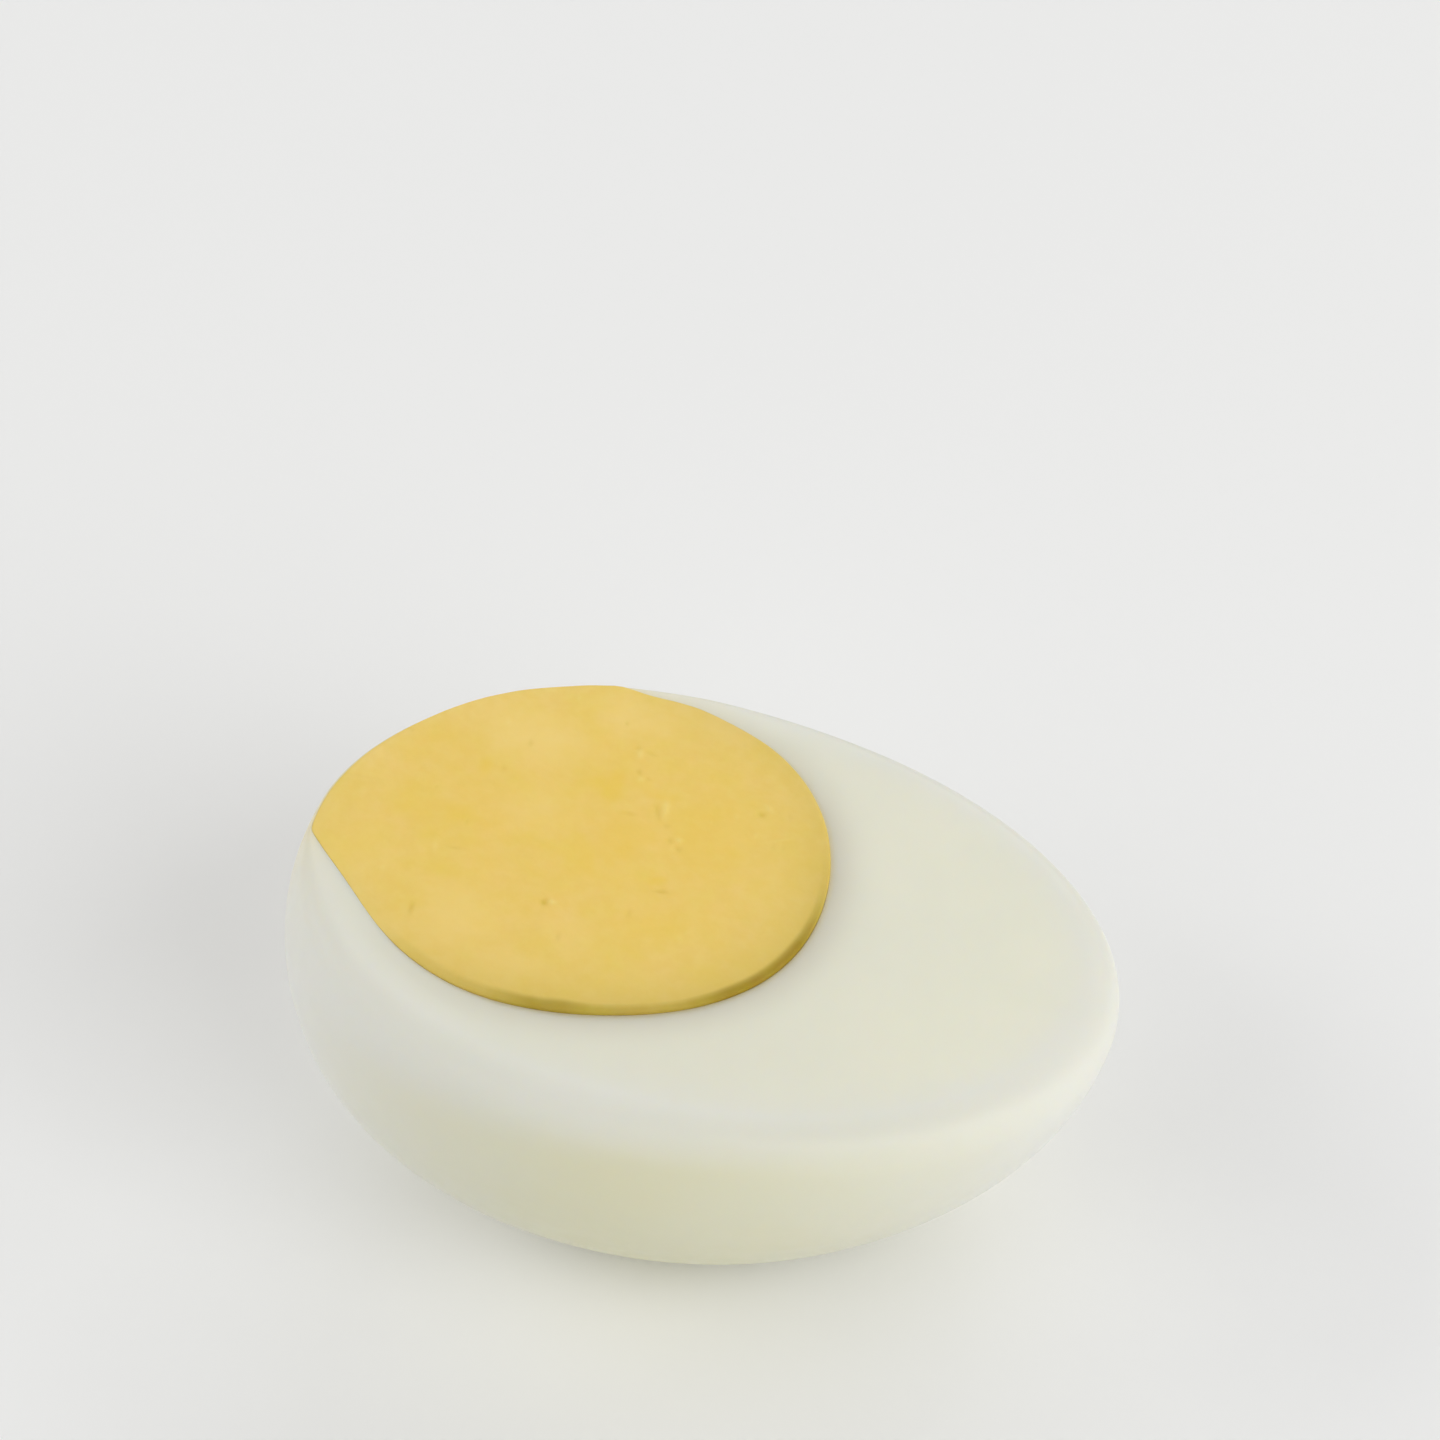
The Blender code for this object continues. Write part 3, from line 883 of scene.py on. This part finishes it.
yolkFinish = {
    "body": (0.92, 0.643, 0.134),
    "edge": (0.93, 0.685, 0.195),
    "rosy": (0.935, 0.65, 0.20),
    "green": (0.87, 0.655, 0.095),
    "pale": (0.955, 0.690, 0.208),
    "gold": (0.900, 0.618, 0.083),
    "speck": (0.86, 0.57, 0.105),
    # Olive tint and painted shade of the dull band inside the film
    "oliveTintAndShade": (0.65, 0.48, 0.09),
    "olive": (0.39, 0.31, 0.005),
    "brown": (0.37, 0.24, 0.01),
    # Painted shade in the pits
    "pit": (0.74, 0.51, 0.06),
    "crumb": (0.96, 0.76, 0.25),
    "edgePower": 3.0,  # how close to the edge the body's colour turns into the edge's
    # What is laid over that in turn: colour, mask, strength
    "coats": (
        ("rosy", "cloudPatches", 0.4),
        ("green", "mottlePatches", 0.45),
        ("rosy", "cloudSpecks", 0.35),
        ("speck", "mottleSpecks", 0.2),
        ("pale", "pale", 0.85),
        ("gold", "gold", 1.0),
        ("pit", "pit", 0.6),
        ("crumb", "crumb", 0.5),
        ("oliveTintAndShade", "oliveTintAndShade", 0.8),
    ),
    "mottle": {"Patch Size": 3.6, "Speck Size": 1.0},
    "clouds": {"Patch Size": 7.5, "Speck Size": 2.2},
    "grain": {"Grain Size": 0.16, "Coarse Share": 0.4},
    "bump": {"Strength": 0.35, "Distance": 0.06 * mm},
    "roughness": (0.70, 0.88),
    "subsurface": 0.15,
    "subsurfaceRadius": (1.0, 0.6, 0.15),
    "subsurfaceScale": 1.0 * mm,
}


def makeYolkMaterial():
    made, tree, shader = newMaterial("boiledYolk")
    mottle = placeGroup(tree, softMottle, yolkFinish["mottle"])
    clouds = placeGroup(tree, softMottle, yolkFinish["clouds"])
    rimward = addNode(tree, "ShaderNodeMath", {1: yolkFinish["edgePower"]}, operation="POWER")
    tree.links.new(mark(tree, "rimward"), rimward.inputs[0])
    colour = paintOver(tree, yolkFinish["body"], yolkFinish["edge"], rimward.outputs[0])
    patterns = {
        "cloudPatches": clouds.outputs["Patches"],
        "cloudSpecks": clouds.outputs["Specks"],
        "mottlePatches": mottle.outputs["Patches"],
        "mottleSpecks": mottle.outputs["Specks"],
    }
    colour = coated(tree, colour, yolkFinish, patterns)
    film = paintOver(tree, yolkFinish["olive"], yolkFinish["brown"], mottle.outputs["Patches"])
    colour = paintOver(tree, colour, film, mark(tree, "oliveSkin"))
    tree.links.new(colour, shader.inputs["Base Color"])
    roughness = spanned(tree, mottle.outputs["Specks"], *yolkFinish["roughness"])
    tree.links.new(roughness, shader.inputs["Roughness"])
    shader.inputs["Subsurface Weight"].default_value = yolkFinish["subsurface"]
    shader.inputs["Subsurface Radius"].default_value = yolkFinish["subsurfaceRadius"]
    shader.inputs["Subsurface Scale"].default_value = yolkFinish["subsurfaceScale"]
    addGrain(tree, shader, yolkFinish)
    return made


eggWhite.data.materials.append(makeWhiteMaterial())
yolkHalf.data.materials.append(makeYolkMaterial())
print("egg: materials made")

for piece, node in ((eggWhite, "egg_white"), (yolkHalf, "yolk")):
    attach(piece, "root")
    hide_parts(node)

# Floor, light and camera

stage = {
    "floorSize": 6.0,  # metres
    "floor": (0.94, 0.94, 0.93),
    "floorRoughness": 0.9,
    "world": (1.0, 1.0, 1.0),
    "worldStrength": 0.265,
    # name, place in metres, watts
    "lamps": (
        ("keyLight", (0.50, -0.45, 0.50), 2.35),
        ("rightLight", (0.75, -0.15, 0.25), 1.75),
        ("leftFrontLight", (-0.50, -0.45, 0.50), 1.25),
        ("leftLight", (-0.72, 0.10, 0.35), 1.75),
        ("backLight", (0.10, 0.70, 0.45), 1.4),
        ("backRightLight", (0.50, 0.50, 0.50), 0.7),
        ("backLeftLight", (-0.40, 0.60, 0.45), 0.4),
    ),
    "lampSize": 0.55,  # metres
}


def makeFloor():
    half = stage["floorSize"] / 2
    data = bpy.data.meshes.new("floor")
    corners = [(-half, -half, 0), (half, -half, 0), (half, half, 0), (-half, half, 0)]
    data.from_pydata(corners, [], [(0, 1, 2, 3)])
    floor = bpy.data.objects.new("floor", data)
    bpy.context.scene.collection.objects.link(floor)
    made, _, shader = newMaterial("paleFloor")
    shader.inputs["Base Color"].default_value = (*stage["floor"], 1)
    shader.inputs["Roughness"].default_value = stage["floorRoughness"]
    data.materials.append(made)


def makeLights():
    world = bpy.data.worlds.new("paleRoom")
    world.use_nodes = True
    background = world.node_tree.nodes["Background"]
    background.inputs["Color"].default_value = (*stage["world"], 1)
    background.inputs["Strength"].default_value = stage["worldStrength"]
    bpy.context.scene.world = world
    for name, place, watts in stage["lamps"]:
        lamp = bpy.data.lights.new(name, "AREA")
        lamp.size = stage["lampSize"]
        lamp.energy = watts
        made = bpy.data.objects.new(name, lamp)
        made.location = place
        made.rotation_euler = (axisPlace - Vector(place)).to_track_quat("-Z", "Y").to_euler()
        bpy.context.scene.collection.objects.link(made)


view = {
    "imageSize": 1440,
    "focalPixels": 5893,
    "distance": 399.0,  # from the middle of the egg's long axis
    "azimuth": 7.93,  # degrees
    "elevation": 44.38,
    "middle": (703.1, 950.5),  # the pixel where the middle of the long axis is
    "sensor": 36.0,
}


def makeCamera():
    turn = math.radians(view["azimuth"])
    lift = math.radians(view["elevation"])
    level = math.cos(lift)
    back = Vector((math.sin(turn) * level, -math.cos(turn) * level, math.sin(lift)))
    right = Vector((math.cos(turn), math.sin(turn), 0))
    up = back.cross(right)
    place = axisPlace + back * view["distance"] * mm
    perPixel = view["distance"] * mm / view["focalPixels"]
    offRight = (view["imageSize"] / 2 - view["middle"][0]) * perPixel
    offUp = (view["middle"][1] - view["imageSize"] / 2) * perPixel
    aim = axisPlace + right * offRight + up * offUp
    data = bpy.data.cameras.new("camera")
    data.sensor_width = view["sensor"]
    data.lens = view["sensor"] * view["focalPixels"] / view["imageSize"]
    made = bpy.data.objects.new("camera", data)
    made.location = place
    made.rotation_euler = (aim - place).to_track_quat("-Z", "Y").to_euler()
    bpy.context.scene.collection.objects.link(made)
    bpy.context.scene.camera = made


makeFloor()
makeLights()
makeCamera()
bpy.context.scene.view_settings.view_transform = "Standard"
print("egg: floor, lights and camera placed")
